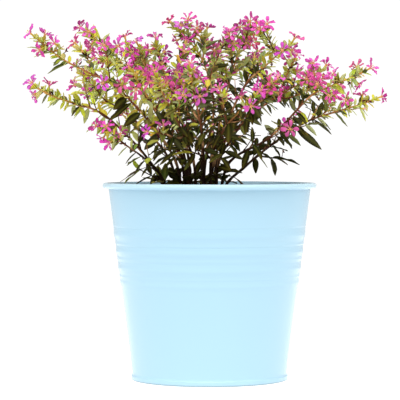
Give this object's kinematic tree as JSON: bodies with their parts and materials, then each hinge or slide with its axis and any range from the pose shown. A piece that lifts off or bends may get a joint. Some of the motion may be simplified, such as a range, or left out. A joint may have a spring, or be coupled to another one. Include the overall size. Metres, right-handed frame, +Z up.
{
  "type": "potted mexican heather",
  "caption": "Bushy Mexican heather with fine leafy stems and small magenta flowers, planted in a round tapered pale blue metal pot with a flared rim and ribs.",
  "frame": {"origin": "on the pot's axis, at the level of the surface that the pot's foot stands on", "axes": "+Z up along the pot's axis, X across the plant's widest spread, -Y towards the plant's front"},
  "size_m": [0.2486, 0.183, 0.2498],
  "materials": {
    "pot_paint": "gloss",
    "soil": "matte",
    "foliage": "satin",
    "petals": "matte"
  },
  "bodies": {
    "root": {"pot_wall": "pot_paint", "pot_bottom": "pot_paint", "soil": "soil", "leafy_stem_01": "foliage", "leafy_stem_02": "foliage", "leafy_stem_03": "foliage", "leafy_stem_04": "foliage", "leafy_stem_05": "foliage", "leafy_stem_06": "foliage", "leafy_stem_07": "foliage", "leafy_stem_08": "foliage", "leafy_stem_09": "foliage", "leafy_stem_10": "foliage", "leafy_stem_11": "foliage", "leafy_stem_12": "foliage", "leafy_stem_13": "foliage", "leafy_stem_14": "foliage", "leafy_stem_15": "foliage", "leafy_stem_16": "foliage", "leafy_stem_17": "foliage", "leafy_stem_18": "foliage", "leafy_stem_19": "foliage", "flower_spray_01": "petals", "flower_spray_02": "petals", "flower_spray_03": "petals", "flower_spray_04": "petals", "flower_spray_05": "petals", "flower_spray_06": "petals", "flower_spray_07": "petals", "flower_spray_08": "petals", "flower_spray_09": "petals", "flower_spray_10": "petals", "flower_spray_11": "petals", "flower_spray_12": "petals", "flower_spray_13": "petals", "flower_spray_14": "petals", "flower_spray_15": "petals", "flower_spray_16": "petals", "flower_spray_17": "petals", "flower_spray_18": "petals", "flower_spray_19": "petals", "flower_spray_20": "petals", "flower_spray_21": "petals", "flower_spray_22": "petals", "flower_spray_23": "petals", "flower_spray_24": "petals", "flower_spray_25": "petals", "flower_spray_26": "petals", "flower_spray_27": "petals", "flower_spray_28": "petals", "flower_spray_29": "petals", "flower_spray_30": "petals", "flower_spray_31": "petals", "flower_spray_32": "petals", "flower_spray_33": "petals", "flower_spray_34": "petals", "flower_spray_35": "petals", "flower_spray_36": "petals", "flower_spray_37": "petals", "flower_spray_38": "petals"}
  },
  "joints": []
}
